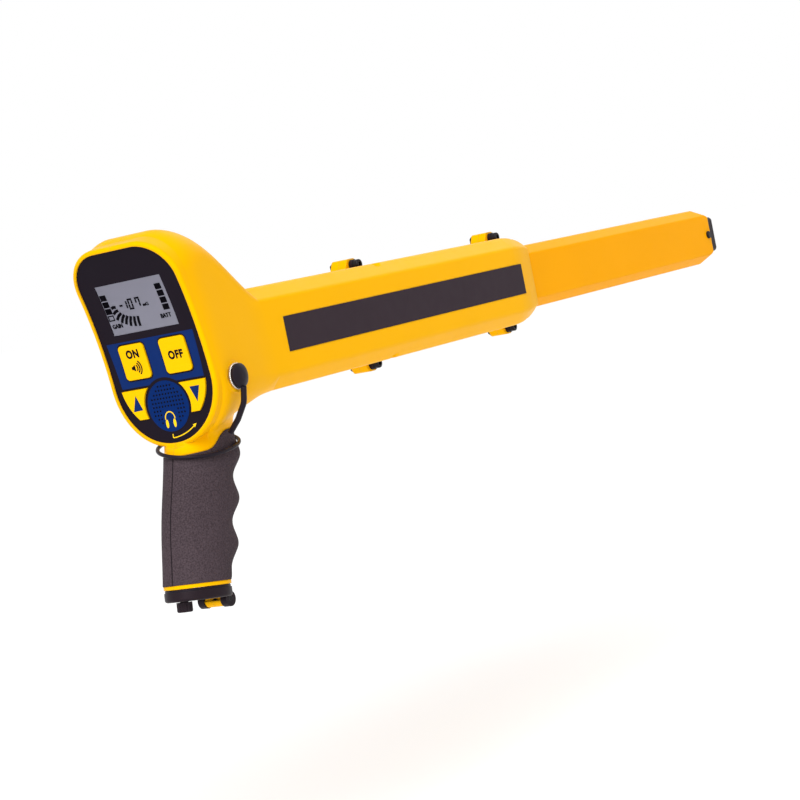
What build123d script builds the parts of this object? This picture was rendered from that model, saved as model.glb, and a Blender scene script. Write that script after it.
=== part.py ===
"""Hand-held magnetic locator: a flat-sided moulded head and arm on a raked pistol grip,
with an octagonal sensor tube that slides out of the arm.

Everything is modelled about the tube's axis: +X forward along the tube, +Y to the user's left,
+Z up, with x = 0 where the arm leaves the head. The solids are written with the origin moved to
the middle of the grip. Millimetres and degrees.
"""

import os
from math import asin, cos, degrees, pi, radians, sin, tan

from build123d import *

# Where the middle of the grip lies from the point where the arm leaves the head
grip_middle = Vector(-47.3, 0, -80)

# Arm: a flat-sided octagon with a rounded nose at its mouth
wall = 2.6
arm_half_width = 27
arm_half_height = 26
arm_chamfer = 7
arm_ease = 3
arm_end = 286
arm_overlap = 4
nose_length = 28
nose_drop = 5.4
nose_power = 1.8
shoulder_x = 266
lip_length = 3

# Sensor tube, drawn fully out
tube_half = 18.9
tube_chamfer = 5.2
tube_ease = 1.2
tube_wall = 2
tube_rear = 246
tube_front = 556
tip_slope_length = 15
tip_slope_drop = 6.8
slide_gap = 0.35
slider_length = 18
bush_wall = 0.9
wiper_length = 3
sensor_length = 40
sensor_core_radius = 7
sensor_flange = 3
front_sensor_gap = 8
rear_sensor_gap = 4

# End cap of the tube and its side screws
cap_length = 8
cap_plug_length = 10
cap_edge = 2.4
cap_corner = 2.8
cap_screw_x = 551.6
cap_screw_radius = 1.3
cap_screw_head = 2.6
cap_screw_rise = 1.5
cap_screw_edge = 0.7
cap_screw_start = 8
plug_side = 4
plug_top = 3
plug_corner = 2
plug_pocket = 4

# Face panel: a straight-sided oval, leaning towards the user at its top and dished from top to bottom.
# Its plane touches the dished face at panel_middle, measured up from the middle of the display.
panel_tilt = 10.4
panel_bend = 202
panel_middle = -21
display_x = -59.8
display_z = 28.4
panel_half_width = 29.5
panel_top = 28.7
panel_bottom = -68
panel_top_radius = 18
panel_foot_flat = 0.7
panel_thickness = 1.6
panel_recess = 0.8
rim_width = 2.3
rim_edge = 1.7
rim_depth = 2.4
ledge_width = 2.6
ledge_depth = 2

# What sits in the panel, measured from the middle of the display
window_width = 40
window_height = 25.6
window_sunk = 0.1
window_back = 0.3
module_border = 2.5
module_depth = 4
square_key = (16, 18)
square_key_at = (12.5, -26.7)
square_key_corner = 2.4
arrow_key_edge = [(25.9, -40), (23.4, -48.6), (18.4, -55.3)]
arrow_key_inner = 8
speaker_at = (0, -50.4)
speaker_radius = 12.4
speaker_surround = 13.7
speaker_depth = 2.4
magnet_radius = 6
magnet_depth = 3.2
key_gap = 0.3
key_rise = 0.9
key_edge = 0.4
key_foot = 0.5
key_flange = 0.9
flange_lip = 0.4
board_size = (42, 54)
board_at = -4
board_depth = 7.4
board_thickness = 1.6

# Head outlines from the panel to the arm, in side view: top point, bottom point,
# then half width, top corner radius and bottom corner radius
head_outlines = [
    ((-58, 61.7), (-42, -39.8), 32, 21, 28),
    ((-46, 59), (-33, -35.6), 31, 16.5, 22),
    ((-32, 49.5), (-22, -31.4), 29.6, 12, 16),
    ((-16, 35.4), (-10, -27.8), 28, 9, 11),
    ((-8, 28.6), (-3, -26.6), 27.3, 8.2, 9.4),
]
arm_start_top = (-2, 26)
arm_start_low = (5, -26)

# Handle: ovals stacked along a raked line, with finger bumps in front
handle_rake = 18.8
handle_cut = 8.5
handle_x = -49
handle_z = -85
handle_back = 21
handle_half_width = 15.6
oval_fullness = 0.55
groove_depth = 16.6
groove_fullness = 0.58
bump_height = 5
bump_fullness = 0.7
bumps = 3
first_bump_z = -49.5
front_taper = 0.043
palm_swell = 1.6
palm_z = -80
palm_reach = 60
finger_pitch = 20.9
handle_foot_z = -107.5
rubber = 1.8
neck_step = 0.5
neck_round = 6
neck_round_x = (-45, 0)
rubber_back = (-48, -46)
rubber_front = (-31, -38.6)
ring_cord = 1.9
ring_at = (-36.4, -43.9)
ring_half = (22.5, 18.1)
ring_rise = 4
ring_roll = 13

# Battery bay along the handle
cell_radius = 7.2
cell_length = 49
cell_start = 3
cell_nub_radius = 2.7
cell_nub_length = 1.2
contact_thickness = 1.6
bay_gap = 0.3
bay_shift = -3.2
bay_length = 56
bay_mouth = 8

# Foot of the handle: rim, battery door, hinge at the front and knob at the back
rim_height = 1.9
rim_inset = 0.3
door_gap = 0.3
seal_thickness = 1.1
seal_inset = 0.8
seal_width = 1.6
door_thickness = 4.6
door_inset = 0.3
pin_gap = 0.05
stud_gap = 0.1
door_edge = 1.4
hinge_u = 11.2
hinge_drop = 5.9
hinge_radius = 3.8
knuckle_radius = 3.4
hinge_pin_radius = 1.25
knuckle_half = 4.8
ear_outer = 8.8
knob_u = -13.5
knob_radius = 3.8
knob_height = 4.8
knob_stud_radius = 2
knob_stud_length = 1.5
knob_well_gap = 1.6
knob_edge = 0.9
flutes = 12
flute_radius = 0.75
flute_out = 0.35
flute_start = 0.8

# Lugs that clamp the halves together, and their screws
lug_x = (119.5, 272.5)
lug_half_length = 6.5
lug_crest_half = 3.5
lug_half_width = 5
lug_height = 5
lug_root = 8
lug_shoulder = 0.4
lug_edge = 2.5
screw_z = 27.2
screw_radius = 1.5
screw_head_radius = 2.75
screw_head_length = 3.2
collar_radius = 3.1
collar_length = 2.2
collar_gap = 0.6
screw_head_edge = 0.6
socket_radius = 1.45
socket_depth = 1.6
nut_flats = 5.5
nut_length = 2.4

# Headphone jack on the right side of the head, with its tethered cap
jack_x = -38
jack_z = -13.9
jack_face = 31.6
jack_bore = 3.25
jack_bush_radius = 4.4
jack_bush_length = 2
jack_depth = 22
jack_body = 12
jack_nut_radius = 6.5
jack_nut_length = 1.6
jack_boss_margin = 1
jack_boss_depth = 5
jack_nut_gap = 0.6
jack_thread = 8
jack_setback = 6
cap_radius = 6
cap_dome = 2.8
cap_gap = 0.3
cap_rim = 1.2
cap_shoulder = (0.62, 0.83)
cap_bush_gap = 0.5
cap_hollow = 0.9
strap_radius = 1.45
strap_bend = 9
# Points of the strap from the cap to the ring, measured from where the jack's axis leaves the head
strap_points = [(-0.2, -3.6, -5.4), (0.2, -1.6, -13), (1, 4.5, -20.5), (2, 11, -26)]

# Label on the right side of the arm
label_x = (16.3, 264)
label_half_height = 8.8
label_thickness = 0.5
label_sunk = 0.3

far = 200
beyond = 5
fit_gap = 0.1
least_ease = 0.4


def tilted(x, z, angle):
    """Plane across the device at (x, z), local x along +Y, local y up and leaning back by angle."""
    lean = radians(angle)
    return Plane(origin=(x, 0, z), x_dir=(0, 1, 0), z_dir=(cos(lean), 0, sin(lean)))


def across(z, x, angle):
    """Level plane at (x, z), local x forward and dipping by angle, local y along +Y."""
    dip = radians(angle)
    return Plane(origin=(x, 0, z), x_dir=(cos(dip), 0, -sin(dip)), z_dir=(sin(dip), 0, cos(dip)))


panel_plane = tilted(display_x, display_z, panel_tilt)
side_view = Plane.XZ


def handle_centre_x(z):
    return handle_x + (z - handle_z) * tan(radians(handle_rake))


foot_plane = across(handle_foot_z, handle_centre_x(handle_foot_z), handle_cut)


corner_signs = [(1, 1), (-1, 1), (-1, -1), (1, -1)]


def round_corner(x, y, radius, turn):
    """Quarter round at the corner (x, y), in three arcs, so that it matches a cut corner edge for edge."""
    right, up = corner_signs[turn]
    middle = (x - right * radius, y - up * radius)
    return [CenterArc(middle, radius, 90 * turn + 30 * third, 30) for third in range(3)]


def cut_corner(x, y, cut, ease, turn):
    """Bevel across the corner (x, y), its two edges eased."""
    right, up = corner_signs[turn]
    run = cut + ease * tan(radians(22.5))
    upright = (x - right * ease, y - up * run)
    level = (x - right * run, y - up * ease)
    first, second = (level, upright) if turn % 2 else (upright, level)
    start = CenterArc(first, ease, 90 * turn, 45)
    end = CenterArc(second, ease, 90 * turn + 45, 45)
    return [start, Line(start @ 1, end @ 0), end]


def joined(corners):
    """Face whose four corners are given in turn, with straight sides between them."""
    edges = []
    for index, corner in enumerate(corners):
        following = corners[(index + 1) % 4]
        edges += corner + [Line(corner[-1] @ 1, following[0] @ 0)]
    return make_face(edges)


def rounded_outline(half_width, top, bottom, top_radius, bottom_radius):
    """Straight-sided face, its top corners and its bottom corners each of their own radius."""
    w = half_width
    return joined([
        round_corner(w, top, top_radius, 0),
        round_corner(-w, top, top_radius, 1),
        round_corner(-w, bottom, bottom_radius, 2),
        round_corner(w, bottom, bottom_radius, 3),
    ])


def panel_outline(margin):
    """The panel's oval, grown by margin all round."""
    half = panel_half_width + margin
    top_radius = panel_top_radius + margin
    foot_radius = half - panel_foot_flat
    return rounded_outline(half, panel_top + margin, panel_bottom - margin, top_radius, foot_radius)


def panel_roll(depth):
    """Round bar across the device whose surface lies at a depth behind the panel's dished front."""
    axis = panel_plane * Pos(0, panel_middle, -panel_bend) * Rot(0, 90, 0)
    return axis * Cylinder(panel_bend + depth, 2 * far)


def on_panel(sketch, start, end):
    """Sketch in the panel's plane, drawn out between two depths behind its dished front."""
    block = extrude(panel_plane.offset(-far / 4) * sketch, far / 2)
    return (block & panel_roll(end)) - panel_roll(start)


def down_to_plane(sketch, start, end):
    """Sketch drawn out from a depth behind the dished front to a flat back behind the panel's plane."""
    return extrude(panel_plane.offset(-far / 4) * sketch, far / 4 + end) - panel_roll(start)


def display_plane():
    """Plane that touches the dished front at the middle of the display."""
    lean = asin(-panel_middle / panel_bend)
    touch = panel_plane.offset(-panel_bend * (1 - cos(lean))).origin
    return tilted(touch.X, touch.Z, panel_tilt + degrees(lean))


def octagon(half_width, half_height, cut, ease):
    corners = []
    for turn, (right, up) in enumerate(corner_signs):
        corners.append(cut_corner(right * half_width, up * half_height, cut, ease, turn))
    return joined(corners)


def along_tube(sketch, start, end):
    """Sketch in Y and Z, drawn out along the tube from start to end."""
    return extrude(tilted(start, 0, 0) * sketch, end - start)


def along_y(x, z, radius, start, end):
    """Round bar across the device, between two y values."""
    bar = Plane(origin=(x, start, z), z_dir=(0, 1, 0)) * Circle(radius)
    return extrude(bar, end - start)


def half_space(side):
    """Everything on one side of the mid-plane."""
    return Pos(0, side * far, 0) * Box(8 * far, 2 * far, 4 * far)


def inset_octagon(half_width, half_height, cut, ease, inset):
    """Octagon drawn in by inset, so that the wall between the two is even."""
    corner = cut - inset * (2 - 2**0.5)
    return octagon(half_width - inset, half_height - inset, corner, max(ease - inset, least_ease))


def arm_octagon(inset):
    return inset_octagon(arm_half_width, arm_half_height, arm_chamfer, arm_ease, inset)


def tube_octagon(inset):
    return inset_octagon(tube_half, tube_half, tube_chamfer, tube_ease, inset)


def between(top, low):
    """Plane through two points of the side view, midway between them, and half their distance."""
    up = Vector(top[0] - low[0], 0, top[1] - low[1])
    middle = Vector(top[0] + low[0], 0, top[1] + low[1]) / 2
    plane = Plane(origin=middle, x_dir=(0, 1, 0), z_dir=Vector(0, 1, 0).cross(up))
    return plane, up.length / 2


def head_section(outline, inset):
    top, low, half_width, top_radius, bottom_radius = outline
    plane, reach = between(top, low)
    reach -= inset
    sketch = rounded_outline(half_width - inset, reach, -reach, top_radius - inset, bottom_radius - inset)
    return plane * sketch


def head_solid(inset):
    """The head, lofted from the oval rim to the arm, or its hollow when inset."""
    if inset:
        first = panel_plane.offset(panel_thickness + ledge_depth) * panel_outline(-ledge_width)
    else:
        first = panel_plane.offset(rim_depth) * panel_outline(rim_width)
    plane, reach = between(arm_start_top, arm_start_low)
    last = plane * inset_octagon(arm_half_width, reach, arm_chamfer, arm_ease, inset)
    return loft([first] + [head_section(outline, inset) for outline in head_outlines] + [last])


def handle_outline(front, back, fullness, shrink):
    """Across the handle: an oval behind and a fuller or a leaner curve in front."""
    half = handle_half_width - shrink
    edges = []
    for tip, full in ((front - shrink, fullness), (shrink - back, oval_fullness)):
        for side in (half, -half):
            edges.append(Bezier((tip, 0), (tip, full * side), (full * tip, side), (0, side)))
    return make_face(edges)


def handle_front(z):
    """Reach of the handle in front of its middle line, between the finger bumps."""
    return groove_depth - front_taper * (first_bump_z - z)


def foot_outline(shrink):
    return handle_outline(handle_front(handle_foot_z), handle_back, groove_fullness, shrink)


def handle_section(z, shrink):
    """Oval at height z, swelling forward at each finger bump and backward at the palm."""
    phase = (first_bump_z - z) / finger_pitch
    swell = (1 + cos(2 * pi * phase)) / 2 if -0.5 < phase < bumps - 0.5 else 0
    offset_share = (z - palm_z) / palm_reach
    palm = palm_swell * (1 + cos(2 * pi * offset_share)) / 2 if abs(offset_share) < 0.5 else 0
    fullness = groove_fullness + (bump_fullness - groove_fullness) * swell
    outline = handle_outline(handle_front(z) + bump_height * swell, handle_back + palm, fullness, shrink)
    return across(z, handle_centre_x(z), handle_cut) * outline


def handle_solid(shrink):
    """The handle from inside the head to its foot, drawn through four ovals to each finger."""
    step = finger_pitch / 4
    sections = [handle_section(first_bump_z - step * index, shrink) for index in range(-6, 13)]
    below = foot_plane * Pos(0, 0, -far / 2) * Box(far, far, far)
    return loft(sections) - below


def head_and_handle():
    """Head and handle as one solid, the corner under the head rounded."""
    head = head_solid(0)
    handle = handle_solid(neck_step)
    solid = head + handle
    corner = new_edges(head, handle, combined=solid).filter_by_position(Axis.X, *neck_round_x)
    return fillet(corner, neck_round)


def rubber_region():
    """Everything below the upper edge of the rubber, which is low at the back and sweeps up in front."""
    back_z = rubber_back[1]
    front_z = rubber_front[1]
    sweep = Spline([rubber_back, rubber_front], tangents=[(1, 0), (1, 0)])
    below = [(far, front_z), (far, -far), (-far, -far), (-far, back_z)]
    border = Polyline(rubber_front, *below, rubber_back)
    return extrude(side_view * make_face([sweep, border]), far, both=True)


def lug_profile(x, sign):
    base = sign * (arm_half_height - lug_root)
    shoulder = sign * (arm_half_height + lug_shoulder)
    crest = sign * (arm_half_height + lug_height)
    points = [
        (x - lug_half_length, base),
        (x - lug_half_length, shoulder),
        (x - lug_crest_half, crest),
        (x + lug_crest_half, crest),
        (x + lug_half_length, shoulder),
        (x + lug_half_length, base),
    ]
    profile = make_face(Polyline(*points, close=True))
    rounded = [v for v in profile.vertices() if abs(v.Y) > arm_half_height]
    return fillet(rounded, lug_edge)


def lug_places():
    return [(x, sign) for x in lug_x for sign in (1, -1)]


def nose_solid():
    """The arm's end, drawn in more and more towards the mouth."""
    sections = []
    for share in (0, 0.25, 0.5, 0.75, 1):
        inset = nose_drop * share**nose_power
        sections.append(tilted(arm_end - nose_length * (1 - share), 0, 0) * arm_octagon(inset))
    return loft(sections)


def housing():
    """Both halves of the housing in one solid, before it is parted."""
    rim = down_to_plane(panel_outline(rim_width), -panel_recess, rim_depth)
    rim_face = rim.faces().filter_by(GeomType.CYLINDER).sort_by(SortBy.AREA)[-1]
    rim = fillet(rim_face.edges(), rim_edge)
    arm = along_tube(arm_octagon(0), arm_start_top[0] - arm_overlap, arm_end - nose_length)
    nose = nose_solid()
    before_panel = on_panel(panel_outline(rim_width), -far / 4, -panel_recess)
    under_rubber = handle_solid(neck_step) & rubber_region()
    head = head_and_handle() - under_rubber - before_panel
    core = handle_solid(rubber) - before_panel
    solid = head + rim + arm + nose + core + foot_rim() + hinge_knuckle()
    for x, sign in lug_places():
        solid += extrude(side_view * lug_profile(x, sign), lug_half_width, both=True)
    boss_radius = jack_nut_radius + jack_boss_margin
    solid += along_y(jack_x, jack_z, boss_radius, -jack_face, jack_boss_depth - jack_face)
    return solid - housing_cuts()


def housing_cuts():
    """Hollows, seats and holes of the housing."""
    cuts = head_solid(wall)
    cuts += along_tube(arm_octagon(wall), arm_start_top[0] - arm_overlap, shoulder_x)
    cuts += along_tube(tube_octagon(-slide_gap - bush_wall), shoulder_x - 1, arm_end - lip_length)
    cuts += along_tube(tube_octagon(-2 * slide_gap), arm_end - lip_length - 1, arm_end + beyond)
    cuts += on_panel(panel_outline(fit_gap), -far / 4, panel_thickness)
    cuts += down_to_plane(panel_outline(-ledge_width), panel_thickness - 1, panel_thickness + ledge_depth + 1)
    cuts += battery_bay()
    knob_well = Cylinder(knob_stud_radius + knob_well_gap, 2 * knob_stud_length + 2)
    cuts += foot_plane * Pos(knob_u, 0, 0) * knob_well
    cuts += along_y(jack_x, jack_z, jack_bush_radius + fit_gap, -jack_face - beyond, 0)
    cuts += along_y(jack_x, jack_z, jack_nut_radius + jack_nut_gap, -jack_face - beyond, -jack_face)
    label_length = label_x[1] - label_x[0]
    label_seat = Box(label_length + 2 * fit_gap, 2 * label_sunk, 2 * (label_half_height + fit_gap))
    cuts += Pos(sum(label_x) / 2, -arm_half_width, 0) * label_seat
    for x, sign in lug_places():
        cuts += along_y(x, sign * screw_z, screw_radius + fit_gap, -far / 4, far / 4)
        for side in (1, -1):
            start, end = side * lug_half_width, side * arm_half_width
            cuts += along_y(x, sign * screw_z, collar_radius + collar_gap, start, end)
    return cuts


def handle_axis_plane():
    """Plane at the foot's middle whose normal runs up along the raked handle."""
    return across(handle_foot_z, handle_centre_x(handle_foot_z), handle_rake)


def battery_bay():
    """Slot for two cells side by side."""
    radius = cell_radius + bay_gap
    sketch = SlotCenterToCenter(2 * cell_radius, 2 * radius)
    return extrude(handle_axis_plane() * Pos(bay_shift, 0, -bay_mouth) * sketch, bay_length + bay_mouth)


def below_foot(sketch, start, end):
    """Sketch in the foot's plane, drawn out between two depths below it."""
    return extrude(foot_plane.offset(-start) * sketch, start - end)


def foot_rim():
    return below_foot(foot_outline(rim_inset), 0, rim_height)


def door_top():
    """Depth of the door's upper face below the foot."""
    return rim_height + door_gap + seal_thickness


def hinge_bar(radius, start, end):
    """Round bar about the hinge's axis, between two y values."""
    bar = Rot(90, 0, 0) * Cylinder(radius, end - start)
    return foot_plane * Pos(hinge_u, (start + end) / 2, -door_top() - hinge_drop) * bar


def hinge_knuckle():
    """The housing's knuckle: a barrel on a tab that hangs from the rim."""
    depth = door_top() + hinge_drop
    tab = foot_plane * Pos(hinge_u, 0, -depth / 2) * Box(knuckle_radius, 2 * knuckle_half, depth)
    barrel = hinge_bar(knuckle_radius, -knuckle_half, knuckle_half)
    return tab + barrel - hinge_bar(hinge_pin_radius, -far, far)


def door_side():
    """The door seen from the side: flat above, its front rounded about the hinge."""
    top = -door_top()
    edges = Polyline(
        (hinge_u, top),
        (-far, top),
        (-far, -far),
        (hinge_u + hinge_drop, -far),
        (hinge_u + hinge_drop, top - hinge_drop),
    )
    roll = CenterArc((hinge_u, top - hinge_drop), hinge_drop, 0, 90)
    return extrude(foot_plane * Rot(90, 0, 0) * make_face(edges + roll), far, both=True)


def battery_door():
    """Lid under the foot, its front rolled about the hinge so that it clears the rim as it opens."""
    plate = below_foot(foot_outline(door_inset), 0, door_top() + door_thickness)
    lowest = plate.faces().sort_by(Axis((0, 0, 0), foot_plane.z_dir))[0]
    plate = fillet(lowest.edges(), door_edge) & door_side()
    plate += hinge_bar(hinge_radius, -ear_outer, ear_outer)
    slot = Box(far, 2 * knuckle_half + 2 * door_gap, far)
    plate -= foot_plane * Pos(hinge_u + far / 2 - hinge_radius - door_gap, 0, 0) * slot
    plate -= hinge_bar(hinge_pin_radius + pin_gap, -far, far)
    return plate - below_foot(Pos(knob_u, 0) * Circle(knob_stud_radius + stud_gap), 0, far)


def door_seal():
    """Rubber band on the door's upper edge, cut away before the hinge."""
    outer = foot_outline(seal_inset)
    inner = foot_outline(seal_inset + seal_width)
    band = below_foot(outer - inner, rim_height + door_gap, door_top())
    return band - foot_plane * Pos(hinge_u + far / 2 - hinge_radius, 0, 0) * Box(far, far, far)


def door_knob():
    """Round finger knob under the door, its stud through the door into the handle's foot."""
    start = door_top() + door_thickness + door_gap
    grip = below_foot(Pos(knob_u, 0) * Circle(knob_radius), start, start + knob_height)
    lowest = grip.faces().sort_by(Axis((0, 0, 0), foot_plane.z_dir))[0]
    grip = fillet(lowest.edges(), knob_edge)
    for place in PolarLocations(knob_radius + flute_out, flutes).locations:
        flute = Pos(knob_u, 0) * place * Circle(flute_radius)
        grip -= below_foot(flute, start + flute_start, start + knob_height + 1)
    stud = below_foot(Pos(knob_u, 0) * Circle(knob_stud_radius), -knob_stud_length, start)
    return grip + stud


def hinge_pin():
    return hinge_bar(hinge_pin_radius, -ear_outer, ear_outer)


def grip_rubber():
    sleeve = handle_solid(0) & rubber_region()
    before_panel = on_panel(panel_outline(rim_width), -far / 4, -panel_recess)
    return sleeve - handle_solid(rubber) - head_solid(0) - before_panel


def tether_ring():
    """Rubber ring round the top of the grip, higher in front."""
    place = across(ring_at[1], ring_at[0], -ring_rise) * Rot(ring_roll, 0, 0)
    path = place * Ellipse(*ring_half).edge()
    start = Plane(origin=path @ 0, z_dir=path % 0)
    return sweep(start * Circle(ring_cord / 2), path)


def cap_strap():
    """Round rubber strap from the cap down to the ring."""
    start = Vector(jack_x, -jack_face, jack_z)
    path = FilletPolyline(*[start + Vector(*point) for point in strap_points], radius=strap_bend)
    return sweep(Plane(origin=path @ 0, z_dir=path % 0) * Circle(strap_radius), path)


def jack_cap():
    """Domed disc over the jack's end, hollowed to clear the bushing."""
    base = jack_face + jack_nut_length + cap_gap
    crown = (0, base + cap_dome)
    edge = (cap_radius, base + cap_rim)
    shoulder = (cap_radius * cap_shoulder[0], base + cap_dome * cap_shoulder[1])
    sides = Polyline(crown, (0, base), (cap_radius, base), edge)
    dome = make_face([*sides.edges(), ThreePointArc(edge, shoulder, crown)])
    middle = Plane(origin=(jack_x, 0, jack_z), x_dir=(1, 0, 0), z_dir=(0, 0, 1))
    turned = mirror(revolve(middle * dome, Axis((jack_x, 0, jack_z), (0, 1, 0))), Plane.XZ)
    return turned - along_y(jack_x, jack_z, jack_bush_radius + cap_bush_gap, -base - cap_hollow, 0)


def headphone_jack():
    bush = along_y(jack_x, jack_z, jack_bush_radius, -jack_face - jack_bush_length, jack_thread - jack_face)
    length = jack_depth - jack_setback
    body = Pos(jack_x, jack_setback - jack_face + length / 2, jack_z) * Box(jack_body, length, jack_body)
    mouth = -jack_face - jack_bush_length
    return bush + body - along_y(jack_x, jack_z, jack_bore, mouth - 1, mouth + jack_depth)


def jack_nut():
    ring = along_y(jack_x, jack_z, jack_nut_radius, -jack_face - jack_nut_length, -jack_face)
    return ring - along_y(jack_x, jack_z, jack_bush_radius, -far, 0)


def panel_openings():
    """Faces of the openings in the panel, by the name of what fills them."""
    side, height = square_key
    at_u, at_v = square_key_at
    top, middle, foot = arrow_key_edge
    inner = Polyline(foot, (arrow_key_inner, foot[1]), (arrow_key_inner, top[1]), top)
    left = make_face([ThreePointArc(top, middle, foot), *inner.edges()])
    surround = Pos(*speaker_at) * Circle(speaker_surround)
    return {
        "key_on": Pos(at_u, at_v) * RectangleRounded(side, height, square_key_corner),
        "key_off": Pos(-at_u, at_v) * RectangleRounded(side, height, square_key_corner),
        "key_up": left - surround,
        "key_down": mirror(left, Plane.YZ) - surround,
        "display_window": Rectangle(window_width, window_height),
        "speaker_disc": Pos(*speaker_at) * Circle(speaker_radius),
    }


def face_panel():
    plate = on_panel(panel_outline(0), 0, panel_thickness)
    for sketch in panel_openings().values():
        plate -= on_panel(sketch, -1, panel_thickness + 1)
    return plate


def key(name):
    """A key cap that stands proud of the panel, with a flange behind it."""
    sketch = panel_openings()[name]
    back = panel_thickness + key_gap
    pad = on_panel(offset(sketch, -key_gap), -key_rise, panel_thickness + key_foot)
    front = pad.faces().sort_by(SortBy.AREA)[-2:].sort_by(Axis.X)[0]
    pad = fillet(front.edges(), key_edge)
    return pad + on_panel(offset(sketch, flange_lip), back, back + key_flange)


def display_window():
    return on_panel(panel_openings()["display_window"], window_sunk, panel_thickness - window_back)


def display_module():
    board = Rectangle(window_width + 2 * module_border, window_height + 2 * module_border)
    return extrude(display_plane().offset(panel_thickness + fit_gap) * board, module_depth)


def speaker_disc():
    return on_panel(panel_openings()["speaker_disc"], window_sunk, panel_thickness)


def speaker():
    front = panel_thickness + key_gap
    middle = front + speaker_depth
    frame = on_panel(Pos(*speaker_at) * Circle(speaker_radius - flange_lip), front, middle)
    return frame + on_panel(Pos(*speaker_at) * Circle(magnet_radius), middle, middle + magnet_depth)


def main_board():
    board = Pos(0, board_at) * Rectangle(*board_size)
    return extrude(panel_plane.offset(board_depth) * board, board_thickness)


def sensor_tube():
    tube = along_tube(tube_octagon(0), tube_rear, tube_front)
    tube -= along_tube(tube_octagon(tube_wall), tube_rear - 1, tube_front - tip_slope_length - tube_wall)
    pocket_start = tube_front - cap_plug_length - plug_pocket
    tube -= along_tube(cap_plug_outline(fit_gap / 2), pocket_start, tube_front + 1)
    for side in (1, -1):
        tube -= along_y(cap_screw_x, 0, cap_screw_radius + fit_gap, side * cap_screw_start, side * far)
    return tube - tip_wedges()


def tip_wedges():
    """What the slopes above and below take off the tip."""
    low = tube_half - tip_slope_drop
    wedge = make_face(Polyline(
        (tube_front - tip_slope_length, tube_half), (tube_front, low), (tube_front + far, low),
        (tube_front + far, 2 * tube_half), (tube_front - tip_slope_length, 2 * tube_half), close=True))
    upper = extrude(side_view * wedge, far, both=True)
    return upper + mirror(upper, Plane.XY)


def cap_plug_outline(margin):
    half_width = tube_half - plug_side + margin
    half_height = tube_half - tip_slope_drop - plug_top + margin
    return RectangleRounded(2 * half_width, 2 * half_height, plug_corner)


def tube_end_cap():
    low = tube_half - tip_slope_drop
    outline = RectangleRounded(2 * tube_half, 2 * low, cap_corner)
    head = along_tube(outline, tube_front, tube_front + cap_length)
    front = head.faces().sort_by(Axis.X)[-1]
    head = fillet(front.edges(), cap_edge)
    plug = along_tube(cap_plug_outline(0), tube_front - cap_plug_length, tube_front)
    for side in (1, -1):
        plug -= along_y(cap_screw_x, 0, cap_screw_radius, side * cap_screw_start, side * far)
    return head + plug


def end_cap_screws():
    screws = []
    for side in (1, -1):
        shank = along_y(cap_screw_x, 0, cap_screw_radius, side * cap_screw_start, side * tube_half)
        head = along_y(cap_screw_x, 0, cap_screw_head, side * tube_half, side * (tube_half + cap_screw_rise))
        outer = head.faces().sort_by(Axis.Y)[-1 if side > 0 else 0]
        screws.append(shank + fillet(outer.edges(), cap_screw_edge))
    return Compound(children=screws)


def tube_slider():
    ring = arm_octagon(wall + slide_gap) - tube_octagon(0)
    return along_tube(ring, tube_rear, tube_rear + slider_length)


def mouth_bush():
    ring = tube_octagon(-slide_gap - bush_wall) - tube_octagon(-slide_gap)
    return along_tube(ring, shoulder_x, arm_end - lip_length - wiper_length)


def wiper_seal():
    ring = tube_octagon(-slide_gap - bush_wall) - tube_octagon(-slide_gap)
    return along_tube(ring, arm_end - lip_length - wiper_length, arm_end - lip_length)


def sensor(start):
    """Fluxgate coil on a bobbin whose flanges fill the tube."""
    core = along_tube(Circle(sensor_core_radius), start, start + sensor_length)
    flange = tube_octagon(tube_wall + fit_gap / 2)
    for end in (start, start + sensor_length - sensor_flange):
        core += along_tube(flange, end, end + sensor_flange)
    return core


def lug_screws():
    screws = []
    for x, sign in lug_places():
        seat = -lug_half_width - collar_length
        shank = along_y(x, sign * screw_z, screw_radius, seat, lug_half_width + nut_length)
        head = along_y(x, sign * screw_z, screw_head_radius, seat - screw_head_length, seat)
        head = fillet(head.faces().sort_by(Axis.Y)[0].edges(), screw_head_edge)
        face = Plane(origin=(x, seat - screw_head_length, sign * screw_z), z_dir=(0, 1, 0))
        socket = extrude(face * RegularPolygon(socket_radius, 6), socket_depth)
        screws.append(shank + head - socket)
    return Compound(children=screws)


def lug_collars():
    collars = []
    for x, sign in lug_places():
        ring = along_y(x, sign * screw_z, collar_radius, -lug_half_width - collar_length, -lug_half_width)
        collars.append(ring - along_y(x, sign * screw_z, screw_radius, -far, far))
    return Compound(children=collars)


def lug_nuts():
    nuts = []
    for x, sign in lug_places():
        face = Plane(origin=(x, lug_half_width, sign * screw_z), z_dir=(0, 1, 0))
        blank = extrude(face * RegularPolygon(nut_flats / 2, 6, major_radius=False), nut_length)
        nuts.append(blank - along_y(x, sign * screw_z, screw_radius, -far, far))
    return Compound(children=nuts)


def arm_label():
    length = label_x[1] - label_x[0]
    plate = Box(length, label_thickness, 2 * label_half_height)
    return Pos(sum(label_x) / 2, -arm_half_width + label_sunk - label_thickness / 2, 0) * plate


def cell_places():
    """Places of the two cells along the handle's axis, side by side."""
    return [handle_axis_plane() * Pos(bay_shift + side * cell_radius, 0, cell_start) for side in (1, -1)]


def battery_cells():
    shoulder = cell_length - cell_nub_length
    body = extrude(Circle(cell_radius - fit_gap / 2), shoulder)
    cell = body + Pos(0, 0, shoulder) * extrude(Circle(cell_nub_radius), cell_nub_length)
    return Compound(children=[place * cell for place in cell_places()])


def battery_contacts():
    """Plate above the cells that joins them to the board's leads."""
    sketch = SlotCenterToCenter(2 * cell_radius, 2 * cell_radius - 1)
    start = cell_start + cell_length + fit_gap
    return extrude(handle_axis_plane() * Pos(bay_shift, 0, start) * sketch, contact_thickness)


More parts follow.
